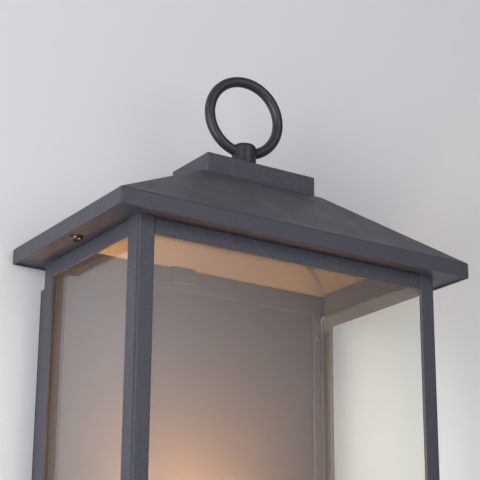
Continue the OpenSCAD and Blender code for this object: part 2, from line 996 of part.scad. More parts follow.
// Glass mount: a disc across the neck, a tapered tube, a thin mast and two hubs
module bulb_stem() {
    r = thread_r - thin - glass_wall;
    color("#e8efec", 0.6)
        lamp_turning()
            polygon([[0, neck_low], [r, neck_low], [r, neck_low + hub_t],
                [foot_r, neck_low + waist_r], [waist_r, filament_low - foot_r],
                [hub_r, filament_low - 1.5 * hub_t], [hub_r, filament_low],
                [mast_r, filament_low], [mast_r, stem_top], [hub_r, stem_top],
                [hub_r, stem_top + hub_t], [0, stem_top + 2 * hub_t]]);
}

module bulb_filaments() {
    color("#e8b94a")
        for (turn = [45:90:315])
            translate([0, cage_mid, bulb_base])
                rotate([0, 0, turn])
                    rod(filament_d, filament_low, stem_top, filament_ring_r);
}

roof_front();
roof_back();
roof_left();
roof_right();
roof_crown();
roof_liner();
cap_block();
finial_stud();
stud_nut();
roof_tabs();
finial_washer();
finial_boss();
finial_ring();
top_frame();
latch_tab();
roof_screws();
front_left_post();
front_right_post();
rear_left_post();
rear_right_post();
front_top_rail();
left_top_rail();
right_top_rail();
front_bottom_rail();
left_bottom_rail();
right_bottom_rail();
front_glass();
left_glass();
right_glass();
glazing_strips();
pane_clips();
back_panel();
panel_rivets();
wall_pan();
wall_gasket();
wall_bracket();
bracket_studs();
cap_nuts();
earth_screw();
terminal_block();
base_tray();
base_cover();
cover_screws();
holder_body();
holder_shell();
holder_contact();
holder_tube();
tube_nut();
live_lead();
neutral_lead();
lead_grommets();
bulb_cap();
bulb_tip();
bulb_glass();
bulb_stem();
bulb_filaments();
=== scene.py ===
"""Outdoor wall lantern: rounded sheet metal, glass, lamp and finishes round the fixed frame."""

import json
import math

import bmesh
import bpy
import numpy as np
from mathutils import Matrix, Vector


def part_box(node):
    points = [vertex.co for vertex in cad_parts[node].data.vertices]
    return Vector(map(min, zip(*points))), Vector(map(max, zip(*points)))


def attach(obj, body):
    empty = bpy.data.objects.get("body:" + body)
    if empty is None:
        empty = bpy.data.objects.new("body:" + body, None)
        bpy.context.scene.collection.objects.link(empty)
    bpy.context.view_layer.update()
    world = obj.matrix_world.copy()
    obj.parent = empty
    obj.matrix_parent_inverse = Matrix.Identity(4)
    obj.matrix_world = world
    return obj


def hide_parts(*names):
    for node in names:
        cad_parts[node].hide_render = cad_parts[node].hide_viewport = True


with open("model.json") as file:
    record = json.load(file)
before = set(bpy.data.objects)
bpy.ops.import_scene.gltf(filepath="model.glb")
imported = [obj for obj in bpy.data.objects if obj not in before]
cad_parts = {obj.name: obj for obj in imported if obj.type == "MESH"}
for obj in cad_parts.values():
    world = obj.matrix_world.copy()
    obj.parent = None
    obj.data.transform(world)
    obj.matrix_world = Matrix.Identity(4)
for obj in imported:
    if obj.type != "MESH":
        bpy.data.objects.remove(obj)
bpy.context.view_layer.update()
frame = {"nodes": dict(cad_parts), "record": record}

bl_info = {
    "name": "Outdoor wall lantern",
    "version": (1, 0, 0),
    "blender": (4, 5, 0),
    "location": "3D View > Sidebar > Lantern",
    "description": "Builds the visible surfaces, finishes and studio of a wall lantern",
    "category": "Object",
}

MM = 0.001
HOLD = 0.12 * MM  # distance of a holding row from a fold, so that flats shade flat
END_HOLD = 0.1 * MM  # distance of a holding ring from the end of an extrusion
MERGE = 1e-7  # points of a new surface closer than this become one
FRAME_MERGE = 2e-6  # the same for the loose triangles of a frame node
STUD_HOLE = 3.3 * MM  # radius of the stud's hole through the roof and the cap block


# ---------------------------------------------------------------- sizes and colours

# one function for each kind of property in the groups below

def length(name, text, default):
    return bpy.props.FloatProperty(
        name=name, description=text, default=default, unit="LENGTH", precision=5)


def angle(name, text, degrees):
    return bpy.props.FloatProperty(
        name=name, description=text, default=math.radians(degrees), subtype="ANGLE", unit="ROTATION")


def power(name, text, default):
    return bpy.props.FloatProperty(
        name=name, description=text, default=default, min=0, unit="POWER")


def colour(name, text, default):
    return bpy.props.FloatVectorProperty(
        name=name, description=text, default=default, subtype="COLOR", size=3, min=0, max=1)


class LanternSizes(bpy.types.PropertyGroup):
    """Sizes that the surfaces use beyond those of the frame."""
    fold: length("Fold radius", "Radius of the fold round the top of the cap block", 0.6 * MM)
    brow: length("Brow radius", "Radius of the fold between fascia and slope", 1.9 * MM)
    margin: length("Crown margin", "Reach of the flat crown past the cap block", 3.2 * MM)
    corner: length("Corner radius", "Radius of the upright corners of roof and cap block", 0.7 * MM)
    loop_bar: length("Loop bar", "Thickness of the loop's round bar", 6.5 * MM)
    lip: length("Lip radius", "Radius of the lips beside a post's groove", 0.9 * MM)
    rail_fold: length("Rail fold", "Radius of the fold along a rail", 1.9 * MM)
    arris: length("Arris", "Ground edge of the glass panes", 0.35 * MM)
    pane_corner: length("Pane corner", "Radius of the panes' corners", 3.0 * MM)
    groove: length("Groove", "Width of the groove down a post's corner", 1.3 * MM)
    post_wall: length("Post wall", "Thickness of a post's legs", 1.8 * MM)
    thread_pitch: length("Thread pitch", "Pitch of the lamp cap's thread", 3.6 * MM)
    thread_depth: length("Thread depth", "Depth of the lamp cap's thread", 0.7 * MM)


class LanternColours(bpy.types.PropertyGroup):
    """Base colours of the finishes."""
    paint: colour("Paint", "Textured black paint", (0.042, 0.0425, 0.056))
    paint_light: colour("Paint, raised grain", "Tops of the paint's grain", (0.082, 0.083, 0.100))
    lining: colour("Roof lining", "Paint inside the roof", (0.11, 0.098, 0.086))
    glass: colour("Glass", "Tint of the panes", (0.96, 0.985, 0.975))
    steel: colour("Steel", "Zinc plated steel", (0.66, 0.66, 0.65))
    glow: colour("Glow", "Light of the filaments", (1.0, 0.47, 0.15))
    wall: colour("Wall", "Backdrop and floor of the studio", (0.67, 0.675, 0.69))


class StudioSettings(bpy.types.PropertyGroup):
    """Camera and light."""
    lens: bpy.props.FloatProperty(
        name="Lens", description="Focal length", default=112.23, subtype="DISTANCE_CAMERA")
    place: bpy.props.FloatVectorProperty(
        name="Camera", description="Place of the camera", default=(-0.4693, -0.7820, -0.1146),
        subtype="TRANSLATION", unit="LENGTH")
    yaw: angle("Yaw", "Turn from straight at the wall", 33.18)
    pitch: angle("Pitch", "Tilt upwards", 18.42)
    roll: angle("Roll", "Roll about the line of sight", 0.41)
    window: power("Window", "Power of the soft light on the left", 60)
    back_fill: power("Back fill", "Power of the soft light behind the lantern", 16)
    lamp_glow: power("Lamp glow", "Power that the lamp gives all round", 0.5)
    lamp_throw: power("Lamp throw", "Power that the lamp gives up and towards the wall", 2.4)
    card: bpy.props.FloatProperty(
        name="Front card", description="Strength of the white card in front", default=2.95, min=0)
    air: bpy.props.FloatProperty(
        name="Air", description="Strength of the even light all round", default=0.13, min=0)


# ---------------------------------------------------------------- geometry

def grid_quads(rows, cols, close_rows=False, close_cols=False):
    """Corner numbers of the quads of a rows by cols grid, joined end to end where asked."""
    r = np.arange(rows if close_rows else rows - 1)
    c = np.arange(cols if close_cols else cols - 1)
    r, c = np.meshgrid(r, c, indexing="ij")
    r1, c1 = (r + 1) % rows, (c + 1) % cols
    return np.stack([r * cols + c, r * cols + c1, r1 * cols + c1, r1 * cols + c], -1).reshape(-1, 4)


def settle(piece, body, slot, replaced, look=None):
    """Links a piece, gives it its finish, puts it under its body and hides the nodes that it
    replaces.
    The finish is the slot's own unless a look is named."""
    piece.data.materials.clear()
    piece.data.materials.append(finish(look or slot))
    bpy.context.scene.collection.objects.link(piece)
    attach(piece, body)
    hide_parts(*replaced)
    return piece


def make_piece(name, points, faces, body, slot, replaced, look=None, smooth=True):
    """Mesh object from an array of points and a list of faces, with its faces turned outwards."""
    mesh = bpy.data.meshes.new(name)
    mesh.from_pydata(np.asarray(points, float).reshape(-1, 3).tolist(), [],
                     [list(map(int, f)) for f in faces])
    shape = bmesh.new()
    shape.from_mesh(mesh)
    bmesh.ops.remove_doubles(shape, verts=shape.verts, dist=MERGE)
    bmesh.ops.recalc_face_normals(shape, faces=shape.faces)
    shape.to_mesh(mesh)
    shape.free()
    mesh.polygons.foreach_set("use_smooth", np.full(len(mesh.polygons), smooth))
    return settle(bpy.data.objects.new(name, mesh), body, slot, replaced, look)


def rounded_outline(corners, steps=4):
    """Closed outline from corners given as (across, up, radius). Each corner is an arc tangent
    to both its sides, whose centre lies on the corner's bisector, with a holding point past
    each end. An arc takes at most 0.45 of a side, and a hold at most 0.04."""
    corners = np.asarray(corners, float)
    corners, radii = corners[:, :2], corners[:, 2]
    nearly_straight = 1.565
    out = []
    for i, (p, r) in enumerate(zip(corners, radii)):
        a = corners[i - 1] - p
        b = corners[(i + 1) % len(corners)] - p
        la, lb = np.linalg.norm(a), np.linalg.norm(b)
        a, b = a / la, b / lb
        half = math.acos(float(np.clip(a @ b, -1, 1))) / 2
        if r <= 0 or half > nearly_straight:
            out.append(p[None])
            continue
        reach = min(r / math.tan(half), 0.45 * la, 0.45 * lb)
        r = reach * math.tan(half)
        centre = p + (a + b) / np.linalg.norm(a + b) * r / math.sin(half)
        u = (p + a * reach - centre) / r
        v = (p + b * reach - centre) / r
        sweep = math.acos(float(np.clip(u @ v, -1, 1)))
        t = np.linspace(0, 1, steps + 1)[:, None]
        arc = centre + r * (np.sin((1 - t) * sweep) * u + np.sin(t * sweep) * v) / math.sin(sweep)
        hold = reach + min(HOLD, 0.04 * la, 0.04 * lb)
        out += [(p + a * hold)[None], arc, (p + b * hold)[None]]
    return np.concatenate(out)


def rectangle_rows(half_x, half_y, radius, steps=4):
    """One closed rounded rectangle for each row: a quarter arc at each corner, with a holding
    point on the straight beside each end of the arc."""
    half_x, half_y, radius = (np.asarray(v, float)[:, None] for v in (half_x, half_y, radius))
    parts_x, parts_y = [], []
    for k, (sx, sy) in enumerate(((1, 1), (-1, 1), (-1, -1), (1, -1))):
        turn = math.pi / 2 * (k + np.linspace(0, 1, steps + 1))
        x = sx * (half_x - radius) + radius * np.cos(turn)
        y = sy * (half_y - radius) + radius * np.sin(turn)
        first_x, first_y = math.sin(turn[0]) * HOLD, -math.cos(turn[0]) * HOLD
        last_x, last_y = -math.sin(turn[-1]) * HOLD, math.cos(turn[-1]) * HOLD
        parts_x += [x[:, :1] + first_x, x, x[:, -1:] + last_x]
        parts_y += [y[:, :1] + first_y, y, y[:, -1:] + last_y]
    return np.concatenate(parts_x, 1), np.concatenate(parts_y, 1)


def rectangle_skin(name, half_x, half_y, z, radius, centre, body, slot, replaced):
    """Surface carried round a rectangle: each point of a closed section gives the rectangle's
    half width, half depth, height and corner radius."""
    x, y = rectangle_rows(half_x, half_y, radius)
    z = np.broadcast_to(z[:, None], x.shape)
    points = np.stack([x + centre[0], y + centre[1], z], -1)
    quads = grid_quads(*x.shape, close_rows=True, close_cols=True)
    return make_piece(name, points, quads, body, slot, replaced)


def extrusion(name, outline, start, end, across, up, body, slot, replaced):
    """Closed outline carried in a straight line from start to end, with a holding ring beside
    each end, and closed by two flat faces that keep a sharp edge."""
    start, end, across, up = (np.asarray(v, float) for v in (start, end, across, up))
    along = (end - start) / np.linalg.norm(end - start)
    flat = outline[:, 0:1] * across + outline[:, 1:2] * up
    points = np.concatenate([start + flat, start + flat + along * END_HOLD,
                             end + flat - along * END_HOLD, end + flat])
    n = len(outline)
    faces = grid_quads(4, n, close_cols=True).tolist()
    faces += [list(range(n))[::-1], list(range(3 * n, 4 * n))]
    piece = make_piece(name, points, faces, body, slot, replaced)
    flat_caps(piece.data, along)
    return piece


def flat_caps(mesh, along):
    """Marks as sharp the edges between the sides and the faces that look along the extrusion."""
    end_on = 0.9
    shape = bmesh.new()
    shape.from_mesh(mesh)
    for edge in shape.edges:
        looks = [abs(f.normal.dot(along)) for f in edge.link_faces]
        if max(looks) > end_on > min(looks):
            edge.smooth = False
    shape.to_mesh(mesh)
    shape.free()


def turning(name, profile, centre, body, slot, replaced, look=None, ripple=0.0):
    """Surface of revolution: each point (radius, height) of a closed profile goes round the
    upright line through the centre. The ripple, a value or a function of angle and height,
    is added to the radius."""
    profile = np.asarray(profile, float)
    steps = 96
    turn = np.linspace(0, 2 * math.pi, steps, endpoint=False)
    height = np.broadcast_to(profile[:, 1:2], (len(profile), steps))
    radius = profile[:, 0:1] + (ripple(turn[None], height) if callable(ripple) else ripple)
    radius = np.broadcast_to(radius, height.shape)
    points = np.stack([centre[0] + radius * np.cos(turn), centre[1] + radius * np.sin(turn),
                       centre[2] + height], -1)
    quads = grid_quads(*radius.shape, close_cols=True)
    return make_piece(name, points, quads, body, slot, replaced, look)


def softened_copy(node, width, slot):
    """Copy of a frame node with its loose triangles merged, its flats joined and its edges
    rounded by a bevel. Normals are weighted by area, so that flats stay flat."""
    mesh = frame["nodes"][node].data.copy()
    mesh.name = node + "_skin"
    shape = bmesh.new()
    shape.from_mesh(mesh)
    bmesh.ops.remove_doubles(shape, verts=shape.verts, dist=FRAME_MERGE)
    bmesh.ops.dissolve_limit(shape, angle_limit=math.radians(1), verts=shape.verts, edges=shape.edges)
    shape.to_mesh(mesh)
    shape.free()
    mesh.polygons.foreach_set("use_smooth", np.ones(len(mesh.polygons), bool))
    piece = bpy.data.objects.new(node + "_skin", mesh)
    bevel = piece.modifiers.new("rounded edges", "BEVEL")
    bevel.width = width
    bevel.segments = 2
    bevel.limit_method = "ANGLE"
    bevel.angle_limit = math.radians(40)
    flats = piece.modifiers.new("flat faces", "WEIGHTED_NORMAL")
    flats.mode = "FACE_AREA"
    flats.weight = 100
    return settle(piece, "lantern", slot, (node,))


# ---------------------------------------------------------------- finishes

def shader_node(tree, kind, values=(), **settings):
    """A node with its settings, and its inputs linked to sockets or set to values."""
    made = tree.nodes.new(kind)
    for key, value in settings.items():
        setattr(made, key, value)
    for key, value in dict(values).items():
        if isinstance(value, bpy.types.NodeSocket):
            tree.links.new(value, made.inputs[key])
        else:
            made.inputs[key].default_value = value
    return made


def new_finish(name):
    """A material with an empty tree, its output and the Object coordinates."""
    material = bpy.data.materials.new(name)
    material.use_nodes = True
    tree = material.node_tree
    tree.nodes.clear()
    out = tree.nodes.new("ShaderNodeOutputMaterial")
    place = tree.nodes.new("ShaderNodeTexCoord").outputs["Object"]
    return material, tree, out, place


def noise(tree, place, scale, detail=3.0, roughness=0.5):
    """Noise with as many cells in a metre as the scale says."""
    return shader_node(tree, "ShaderNodeTexNoise", {
        "Vector": place, "Scale": scale, "Detail": detail, "Roughness": roughness}).outputs["Fac"]


def spread(tree, value, low, high, to_low=0.0, to_high=1.0):
    """The stretch from low to high mapped onto that from to_low to to_high, and held there."""
    return shader_node(tree, "ShaderNodeMapRange", {
        "Value": value, "From Min": low, "From Max": high,
        "To Min": to_low, "To Max": to_high}).outputs["Result"]


def blend_colour(tree, factor, a, b):
    """Colour a where the factor is 0 and b where it is 1."""
    made = shader_node(tree, "ShaderNodeMix", data_type="RGBA")
    for socket, value in ((made.inputs[0], factor), (made.inputs[6], a), (made.inputs[7], b)):
        if isinstance(value, bpy.types.NodeSocket):
            tree.links.new(value, socket)
        else:
            socket.default_value = (*value, 1.0)
    return made.outputs[2]


def blend_shader(tree, factor, a, b, out):
    """Sends shader a to the output where the factor is 0 and shader b where it is 1."""
    mix = tree.nodes.new("ShaderNodeMixShader")
    for socket, source in zip(mix.inputs, (factor, a.outputs[0], b.outputs[0])):
        tree.links.new(source, socket)
    tree.links.new(mix.outputs[0], out.inputs[0])


def bump(tree, height, strength, distance, normal=None):
    """Bump from a height, on top of an earlier bump where there is one."""
    values = {"Height": height, "Strength": strength, "Distance": distance}
    if normal is not None:
        values["Normal"] = normal
    return shader_node(tree, "ShaderNodeBump", values).outputs["Normal"]


def facing_up(tree):
    """How far a surface looks upwards, from 0 to 1."""
    normal = shader_node(tree, "ShaderNodeNewGeometry").outputs["Normal"]
    upward = shader_node(tree, "ShaderNodeSeparateXYZ", {"Vector": normal}).outputs["Z"]
    return spread(tree, upward, 0.3, 1.0)


def joined(tree, a, b, operation):
    """Two values joined by an operation of the Math node."""
    return shader_node(tree, "ShaderNodeMath", {0: a, 1: b}, operation=operation).outputs[0]


def scaled(tint, factor):
    """A colour with each channel scaled by a factor."""
    return tuple(factor * v for v in tint)


def textured_paint(name, dark, light, rough=(0.40, 0.52), grain=1.0):
    """Baked powder paint: a fine pimpled grain over a soft orange peel, paler on the tops of
    the grain, with a little settled dust where it faces up."""
    material, tree, out, place = new_finish(name)
    pimples = noise(tree, place, scale=1500, detail=2.0, roughness=0.55)
    peel = noise(tree, place, scale=420, detail=2.0)
    cloud = noise(tree, place, scale=9)
    handling = noise(tree, place, scale=60, detail=4.0, roughness=0.6)
    between = tuple(0.5 * (a + b) for a, b in zip(dark, light))
    dust_colour = (0.30, 0.30, 0.29)
    tone = blend_colour(tree, spread(tree, pimples, 0.42, 0.66), dark, light)
    tone = blend_colour(tree, spread(tree, cloud, 0.35, 0.75, 0.0, 0.35), tone, between)
    dust = joined(tree, facing_up(tree), spread(tree, cloud, 0.35, 0.7, 0.0, 0.06), "MULTIPLY")
    tone = blend_colour(tree, dust, tone, dust_colour)
    normal = bump(tree, peel, strength=0.30 * grain, distance=0.25 * MM)
    normal = bump(tree, pimples, strength=0.55 * grain, distance=0.16 * MM, normal=normal)
    shader = shader_node(tree, "ShaderNodeBsdfPrincipled", {
        "Base Color": tone, "Roughness": spread(tree, handling, 0.3, 0.7, *rough),
        "Normal": normal, "Specular IOR Level": 0.34, "Specular Tint": (0.90, 0.91, 1.0, 1.0)})
    tree.links.new(shader.outputs[0], out.inputs[0])
    return material


def metal(name, tint, rough=(0.24, 0.36), worn=(0.45, 0.43, 0.40)):
    """Plated or drawn metal: fine handling scratches, cloudy roughness and a duller patch here
    and there."""
    material, tree, out, place = new_finish(name)
    scratch = noise(tree, place, scale=1100, detail=4.0, roughness=0.7)
    cloud = noise(tree, place, scale=70, roughness=0.55)
    shader = shader_node(tree, "ShaderNodeBsdfPrincipled", {
        "Base Color": blend_colour(tree, spread(tree, cloud, 0.45, 0.75, 0.0, 0.6), tint, worn),
        "Metallic": 1.0, "Roughness": spread(tree, scratch, 0.3, 0.7, *rough),
        "Normal": bump(tree, scratch, strength=0.2, distance=0.03 * MM)})
    tree.links.new(shader.outputs[0], out.inputs[0])
    return material


def moulded(name, tint, rough=(0.35, 0.5), coat=0.0, scale=500, speck=0.85):
    """Moulded, glazed or rubber surface: fine surface bump and a faint mottle."""
    material, tree, out, place = new_finish(name)
    mottle = noise(tree, place, scale, roughness=0.6)
    handling = noise(tree, place, scale=90)
    shader = shader_node(tree, "ShaderNodeBsdfPrincipled", {
        "Base Color": blend_colour(tree, spread(tree, mottle, 0.35, 0.7), tint, scaled(tint, speck)),
        "Coat Weight": coat, "Coat Roughness": 0.08,
        "Roughness": spread(tree, handling, 0.3, 0.7, *rough),
        "Normal": bump(tree, mottle, strength=0.3, distance=0.08 * MM)})
    tree.links.new(shader.outputs[0], out.inputs[0])
    return material


def clear_glass(name, tint, marks=0.015, wave=0.10, film=0.0):
    """Clear glass: faint rolled waves, a trace of dried spots in the gloss, and a shader that
    lets lamplight through. The film is the share of light that the surface scatters."""
    material, tree, out, place = new_finish(name)
    spots = noise(tree, place, scale=55, detail=4.0, roughness=0.6)
    rolled = noise(tree, place, scale=9, detail=1.0, roughness=0.4)
    glass = shader_node(tree, "ShaderNodeBsdfPrincipled", {
        "Base Color": (*tint, 1.0), "Roughness": spread(tree, spots, 0.55, 0.8, 0.0, marks),
        "IOR": 1.5, "Transmission Weight": 1.0 - film,
        "Normal": bump(tree, rolled, strength=wave, distance=0.02 * MM)})
    clear = shader_node(tree, "ShaderNodeBsdfTransparent", {"Color": (*tint, 1.0)})
    shadow = tree.nodes.new("ShaderNodeLightPath").outputs["Is Shadow Ray"]
    blend_shader(tree, shadow, glass, clear, out)
    return material


def glowing(name, tint, strength):
    """Filament coating: a granular phosphor that glows unevenly along its length."""
    material, tree, out, place = new_finish(name)
    grains = noise(tree, place, scale=1800, detail=2.0)
    brighter = tuple(min(1, 1.2 * v) for v in tint)
    tone = blend_colour(tree, spread(tree, grains, 0.3, 0.7), tint, brighter)
    shader = shader_node(tree, "ShaderNodeBsdfPrincipled", {
        "Base Color": tone, "Emission Color": tone, "Emission Strength": strength,
        "Roughness": spread(tree, grains, 0.3, 0.7, 0.5, 0.8),
        "Normal": bump(tree, grains, strength=0.4, distance=0.05 * MM)})
    tree.links.new(shader.outputs[0], out.inputs[0])
    return material


def one_sided(name, tint):
    """Matt backdrop whose back is clear and that casts no shadow, so that the lantern's back
    can be seen and lit through it."""
    material, tree, out, place = new_finish(name)
    cloud = noise(tree, place, scale=3)
    plaster = noise(tree, place, scale=240, roughness=0.6)
    matt = shader_node(tree, "ShaderNodeBsdfPrincipled", {
        "Base Color": blend_colour(
            tree, spread(tree, cloud, 0.3, 0.7, 0.0, 0.5), tint, scaled(tint, 0.985)),
        "Roughness": 0.85, "Specular IOR Level": 0.2,
        "Normal": bump(tree, plaster, strength=0.05, distance=0.2 * MM)})
    clear = tree.nodes.new("ShaderNodeBsdfTransparent")
    side = tree.nodes.new("ShaderNodeNewGeometry").outputs["Backfacing"]
    shadow = tree.nodes.new("ShaderNodeLightPath").outputs["Is Shadow Ray"]
    blend_shader(tree, joined(tree, side, shadow, "MAXIMUM"), matt, clear, out)
    return material


FINISHES = {
    "black_paint": lambda name, c: textured_paint(name, tuple(c.paint), tuple(c.paint_light)),
    # darker copy of the black paint for the finial: its halved colour is painted shade for the round
    # bar's unlit sides, while its lower roughness and finer grain are the finial's own satin finish
    "shaded_finial_paint": lambda name, c: textured_paint(
        name, scaled(c.paint, 0.5), scaled(c.paint_light, 0.5), rough=(0.34, 0.44), grain=0.8),
    "roof_lining": lambda name, c: textured_paint(
        name, scaled(c.lining, 0.94), tuple(c.lining), rough=(0.32, 0.42), grain=0.12),
    "pane_glass": lambda name, c: clear_glass(name, tuple(c.glass), film=0.014),
    "black_rubber": lambda name, c: moulded(
        name, (0.030, 0.030, 0.031), rough=(0.6, 0.75), scale=700),
    "bright_steel": lambda name, c: metal(name, tuple(c.steel)),
    "dark_steel": lambda name, c: metal(
        name, (0.13, 0.12, 0.11), rough=(0.2, 0.34), worn=(0.08, 0.07, 0.06)),
    "earth_green": lambda name, c: metal(
        name, (0.16, 0.42, 0.14), rough=(0.3, 0.45), worn=(0.3, 0.36, 0.2)),
    "porcelain": lambda name, c: moulded(
        name, (0.80, 0.78, 0.72), rough=(0.12, 0.2), coat=0.6, scale=160, speck=0.95),
    "brass": lambda name, c: metal(
        name, (0.78, 0.58, 0.27), rough=(0.2, 0.34), worn=(0.52, 0.38, 0.2)),
    "lamp_cap": lambda name, c: metal(name, (0.74, 0.74, 0.75), rough=(0.18, 0.3)),
    "lamp_black_glass": lambda name, c: moulded(
        name, (0.02, 0.02, 0.022), rough=(0.08, 0.14), coat=0.5, scale=200),
    "lamp_glass": lambda name, c: clear_glass(name, (1.0, 0.97, 0.92), marks=0.03, wave=0.05),
    "filament": lambda name, c: glowing(name, tuple(c.glow), strength=14.0),
    "terminal_plastic": lambda name, c: moulded(name, (0.74, 0.72, 0.66), rough=(0.4, 0.55)),
    "brown_insulation": lambda name, c: moulded(name, (0.20, 0.10, 0.05)),
    "blue_insulation": lambda name, c: moulded(name, (0.08, 0.17, 0.38)),
}


def finish(look):
    """The material of a look, made the first time that it is asked for."""
    name = "lantern_" + look
    return bpy.data.materials.get(name) or FINISHES[look](name, bpy.context.scene.lantern_colours)


# ---------------------------------------------------------------- frame helpers

def middle(node):
    """Middle of a node's box."""
    low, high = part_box(node)
    return (np.array(low) + np.array(high)) / 2


def sheet_thickness():
    """Thickness of the sheet metal, which the flat back panel shows."""
    low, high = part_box("back_panel")
    return high.y - low.y


# ---------------------------------------------------------------- pieces

class LANTERN_OT_finishes(bpy.types.Operator):
    """Gives every node of the frame the finish of its slot"""
    bl_idname = "lantern.finishes"
    bl_label = "Finishes"
    bl_options = {"REGISTER", "UNDO"}

    def execute(self, context):
        slots = {p["node"]: p["material_slot"] for p in frame["record"]["subparts"]}
        for name, node in frame["nodes"].items():
            if node.type == "MESH":
                node.data.materials.clear()
                node.data.materials.append(finish(slots[name]))
        return {"FINISHED"}


class LANTERN_OT_roof(bpy.types.Operator):
    """Hipped roof in one skin: fascia, fold, slopes and the flat under the cap block"""
    bl_idname = "lantern.roof"
    bl_label = "Roof"
    bl_options = {"REGISTER", "UNDO"}

    def execute(self, context):
        s = context.scene.lantern_sizes
        front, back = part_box("roof_front"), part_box("roof_back")
        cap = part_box("cap_block")
        t = sheet_thickness()
        half_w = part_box("roof_right")[1].x
        half_d = (back[1].y - front[0].y) / 2
        centre = (0, (back[1].y + front[0].y) / 2)
        eave, top = front[0].z, cap[0].z
        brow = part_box("roof_tabs")[1].z + t
        cap_w, cap_d = cap[1].x, (cap[1].y - cap[0].y) / 2
        run_x, run_y, rise = half_w - cap_w, half_d - cap_d, top - brow
        # the inner slope starts lower than the brow, so that the sheet is as thick all the way up
        drop = t * (math.hypot(run_x, rise) - rise) / run_x
        # the section of the side slopes: inset from the fascia's face, height and radius
        path = rounded_outline([
            (0.0, eave, 0.35 * MM),
            (0.0, brow, s.brow),
            (run_x - s.margin, top, 14 * MM),
            (run_x, top, 0),
            (half_w - STUD_HOLE, top, 0),
            (half_w - STUD_HOLE, top - t, 0),
            (run_x + 0.3 * t, top - t, 0),
            (t, brow - drop, 0.4 * MM),
            (t, eave, 0.25 * MM),
        ], steps=6)
        inset, z = path[:, 0], path[:, 1]
        # past the fascia the front and back slopes cover their own run in the same rise, and
        # past the cap block's outline the flat closes in on the stud's hole
        inset_y = np.where(inset <= t, inset, t + (inset - t) * (run_y - t) / (run_x - t))
        beyond = inset > run_x
        closing = (cap_d - STUD_HOLE) / (cap_w - STUD_HOLE)
        inset_y = np.where(beyond, run_y + (inset - run_x) * closing, inset_y)
        half_x, half_y = half_w - inset, half_d - inset_y
        least = np.minimum(half_x, half_y)
        # the hips grow sharper up the slope, and the stud's hole is nearly round
        hip = np.clip(s.corner - 0.1 * inset, 0.5 * MM, None)
        radius = np.minimum(np.where(beyond, 0.98 * least, hip), least)
        rectangle_skin("roof_skin", half_x, half_y, z, radius, centre, "roof", "black_paint",
                       ("roof_front", "roof_back", "roof_left", "roof_right", "roof_crown"))
        return {"FINISHED"}


class LANTERN_OT_cap_block(bpy.types.Operator):
    """Flat-topped block with eased edges: a section carried round its rectangle"""
    bl_idname = "lantern.cap_block"
    bl_label = "Cap block"
    bl_options = {"REGISTER", "UNDO"}

    def execute(self, context):
        s = context.scene.lantern_sizes
        low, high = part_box("cap_block")
        t = sheet_thickness()
        half_w, half_d = high.x, (high.y - low.y) / 2
        # the section of the long sides: inset from the block's face, height and radius
        path = rounded_outline([
            (0, low.z, 0.2 * MM),
            (0, high.z, s.fold),
            (half_d - STUD_HOLE, high.z, 0),
            (half_d - STUD_HOLE, high.z - t, 0),
            (t, high.z - t, 0.3 * MM),
            (t, low.z, 0.2 * MM),
        ])
        inset, z = path[:, 0], path[:, 1]
        # on the flat top the rings close in on the stud's hole from all four sides
        flat = inset > 3 * s.fold
        closing = (half_w - STUD_HOLE) / (half_d - STUD_HOLE)
        half_x, half_y = half_w - np.where(flat, inset * closing, inset), half_d - inset
        radius = np.minimum(np.where(flat, half_y, s.corner), np.minimum(half_x, half_y))
        rectangle_skin("cap_block_skin", half_x, half_y, z, radius, middle("cap_block"), "roof",
                       "black_paint", ("cap_block",))
        return {"FINISHED"}


class LANTERN_OT_loop(bpy.types.Operator):
    """Loop of round bar: a circle carried round a circle that stands upright"""
    bl_idname = "lantern.loop"
    bl_label = "Loop"
    bl_options = {"REGISTER", "UNDO"}

    def execute(self, context):
        s = context.scene.lantern_sizes
        low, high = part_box("finial_ring")
        centre = middle("finial_ring")
        bar = s.loop_bar / 2
        big = (high.z - low.z) / 2 - bar
        # the loop's box is narrower than the loop by the cosine of its turn
        turn = -math.acos(min(1.0, ((high.x - low.x) / 2 - bar) / big))
        rings, sides = 160, 40
        a = np.linspace(0, 2 * math.pi, rings, endpoint=False)[:, None]
        b = np.linspace(0, 2 * math.pi, sides, endpoint=False)[None]
        reach = big + bar * np.cos(b)
        along, aside = reach * np.cos(a), bar * np.sin(b)
        points = np.stack([centre[0] + along * math.cos(turn) - aside * math.sin(turn),
                           centre[1] + along * math.sin(turn) + aside * math.cos(turn),
                           centre[2] + reach * np.sin(a)], -1)
        # the loop takes the darker copy of the black paint, whose halved colour is painted shade
        make_piece("loop", points, grid_quads(rings, sides, True, True), "finial", "black_paint",
                   ("finial_ring",), look="shaded_finial_paint")
        return {"FINISHED"}


class LANTERN_OT_boss(bpy.types.Operator):
    """Turned boss that holds the loop, with a neck under its collar and a blind bore"""
    bl_idname = "lantern.boss"
    bl_label = "Boss"
    bl_options = {"REGISTER", "UNDO"}

    def execute(self, context):
        low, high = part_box("finial_boss")
        washer_low, washer_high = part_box("finial_washer")
        r, h = (high.x - low.x) / 2, high.z - low.z
        neck = (washer_high.x - washer_low.x) / 2 - 1.5 * MM
        collar = 4.5 * MM
        bore, bore_end = 3.05 * MM, 5.0 * MM
        axis, above = 0.4 * MM, 5.2 * MM
        path = rounded_outline([
            (bore, bore_end, 0),
            (bore, 0, 0.2 * MM),
            (neck, 0, 0.3 * MM),
            (neck, collar - 0.4 * MM, 0.1 * MM),
            (r, collar, 0.5 * MM),
            (r, h, 2.6 * MM),
            (axis, h, 0),
            (axis, above, 0),
        ], steps=6)
        # the boss takes the darker copy of the black paint, whose halved colour is painted shade
        turning("boss", np.concatenate([path, path[:1]]), (0, middle("finial_boss")[1], low.z),
                "finial", "black_paint", ("finial_boss",), look="shaded_finial_paint")
        return {"FINISHED"}


